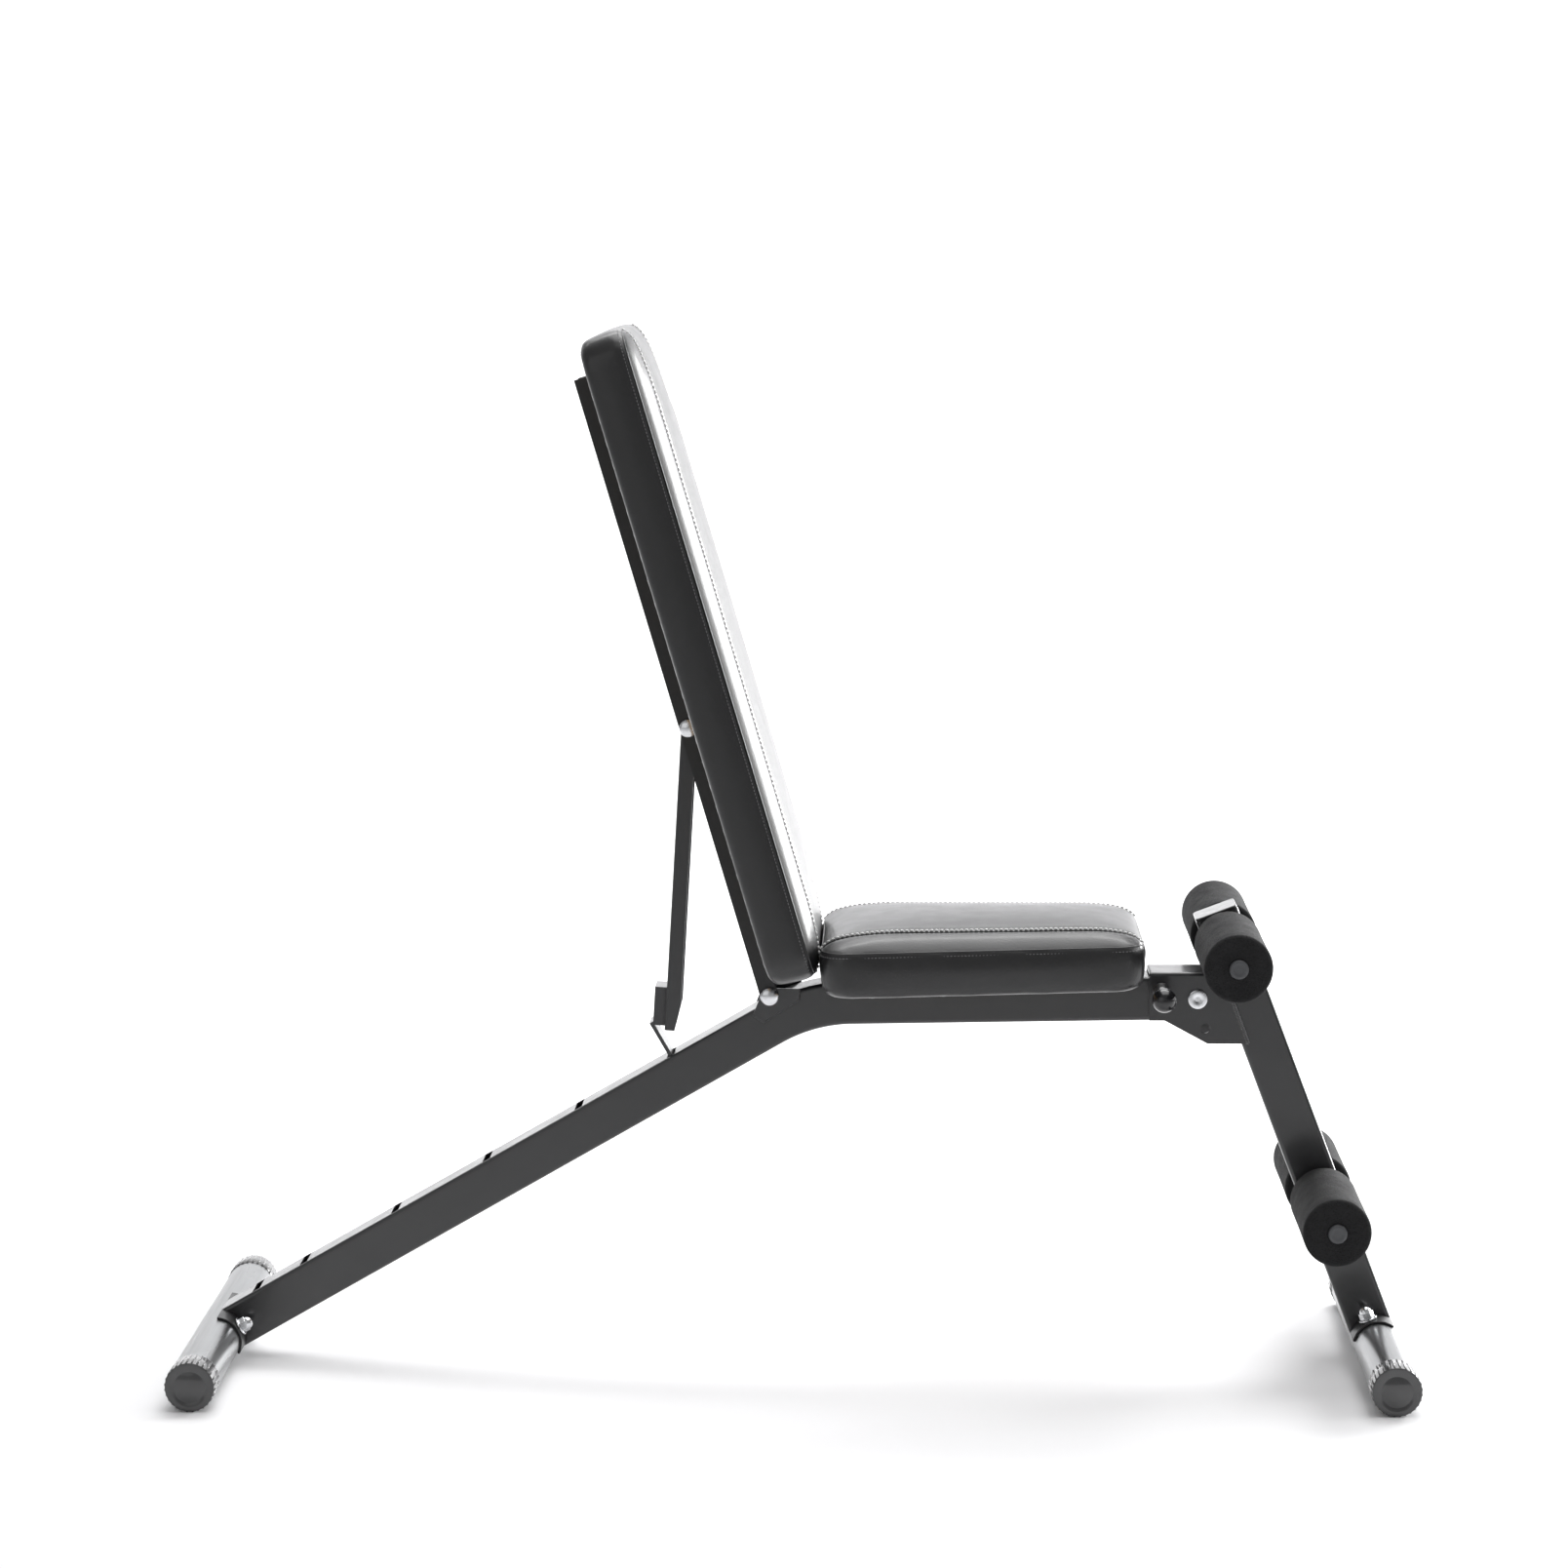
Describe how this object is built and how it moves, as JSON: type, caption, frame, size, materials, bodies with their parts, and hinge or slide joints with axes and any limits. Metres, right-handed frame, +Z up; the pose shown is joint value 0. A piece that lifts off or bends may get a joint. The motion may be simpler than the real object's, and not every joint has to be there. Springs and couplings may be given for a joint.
{
  "type": "adjustable weight bench",
  "caption": "Adjustable weight bench with reclining backrest on a slotted frame, padded seat, folding front leg with foam rollers and floor bars.",
  "frame": {"origin": "on the floor plane, below the centre of the bounding box", "axes": "+X from the rear floor bar towards the front leg, +Y across the bench towards its far side, +Z up"},
  "size_m": [1.2485, 0.45, 1.0694],
  "materials": {
    "frame_paint": "semi-gloss black powder coat",
    "foot_chrome": "bright tube",
    "zinc": "bright zinc",
    "vinyl": "black grained upholstery vinyl",
    "plywood": "plywood board",
    "black_plastic": "black moulded plastic",
    "grey_plastic": "grey moulded plastic",
    "knob_plastic": "glossy black ball",
    "foam": "closed-cell foam"
  },
  "bodies": {
    "frame": {"main_tube": "frame_paint", "front_tube_plug": "black_plastic", "seat_board": "plywood", "seat_cushion": "vinyl", "seat_bolt_1": "zinc", "seat_bolt_2": "zinc", "rear_foot_tube": "foot_chrome", "rear_saddle": "frame_paint", "rear_bolt_near": "zinc", "rear_nut_near": "zinc", "rear_bolt_far": "zinc", "rear_nut_far": "zinc", "rear_cap_near": "black_plastic", "rear_cap_far": "black_plastic", "ear_near": "frame_paint", "ear_far": "frame_paint", "back_pivot_bolt": "zinc", "back_pivot_nut": "zinc"},
    "backrest": {"back_channel": "frame_paint", "back_board": "plywood", "back_cushion": "vinyl", "board_screw_1": "zinc", "board_screw_2": "zinc", "board_screw_3": "zinc", "board_screw_4": "zinc", "strut_pivot_bolt": "zinc", "strut_pivot_nut": "zinc", "strut_spacer_near": "zinc", "strut_spacer_far": "zinc"},
    "strut": {"strut": "frame_paint", "strut_shoe": "frame_paint"},
    "leg": {"leg_tube": "frame_paint", "leg_top_plug": "black_plastic", "fold_bracket": "frame_paint", "fold_bolt": "zinc", "fold_nut": "zinc", "pin_barrel": "black_plastic", "front_foot_tube": "foot_chrome", "front_saddle": "frame_paint", "front_bolt_near": "zinc", "front_nut_near": "zinc", "front_bolt_far": "zinc", "front_nut_far": "zinc", "front_cap_near": "black_plastic", "front_cap_far": "black_plastic", "upper_roller_tube": "frame_paint", "upper_plug_near": "grey_plastic", "upper_plug_far": "grey_plastic", "lower_roller_tube": "frame_paint", "lower_plug_near": "grey_plastic", "lower_plug_far": "grey_plastic"},
    "pin": {"lock_pin": "zinc", "pin_knob": "knob_plastic"},
    "upper_roller_near_body": {"upper_roller_near": "foam"},
    "upper_roller_far_body": {"upper_roller_far": "foam"},
    "lower_roller_near_body": {"lower_roller_near": "foam"},
    "lower_roller_far_body": {"lower_roller_far": "foam"}
  },
  "joints": [
    {"name": "back_recline", "type": "hinge", "parent": "frame", "child": "backrest", "pos_m": [-0.026, 0, 0.3846], "axis": [0, 1, 0], "range_deg": [-91.86, 0]},
    {"name": "strut_swing", "type": "hinge", "parent": "backrest", "child": "strut", "pos_m": [-0.1074, 0, 0.66117], "axis": [0, 1, 0], "range_deg": [0, 138]},
    {"name": "leg_fold", "type": "hinge", "parent": "frame", "child": "leg", "pos_m": [0.4113, 0, 0.38224], "axis": [0, 1, 0], "range_deg": [0, 105]},
    {"name": "pin_pull", "type": "slide", "parent": "leg", "child": "pin", "axis": [0, -1, 0], "range_m": [-0.006, 0.006], "stiffness_N_per_m": 300, "springref_m": -0.012},
    {"name": "upper_near_spin", "type": "hinge", "parent": "leg", "child": "upper_roller_near_body", "pos_m": [0.44141, -0.102, 0.43955], "axis": [0, 1, 0], "continuous": true},
    {"name": "upper_far_spin", "type": "hinge", "parent": "leg", "child": "upper_roller_far_body", "pos_m": [0.44141, 0.102, 0.43955], "axis": [0, 1, 0], "continuous": true},
    {"name": "lower_near_spin", "type": "hinge", "parent": "leg", "child": "lower_roller_near_body", "pos_m": [0.54197, -0.102, 0.17342], "axis": [0, 1, 0], "continuous": true},
    {"name": "lower_far_spin", "type": "hinge", "parent": "leg", "child": "lower_roller_far_body", "pos_m": [0.54197, 0.102, 0.17342], "axis": [0, 1, 0], "continuous": true}
  ],
  "couplings": [
    {"joint": "strut_swing", "follows": "back_recline", "ratio": -1.5021}
  ]
}
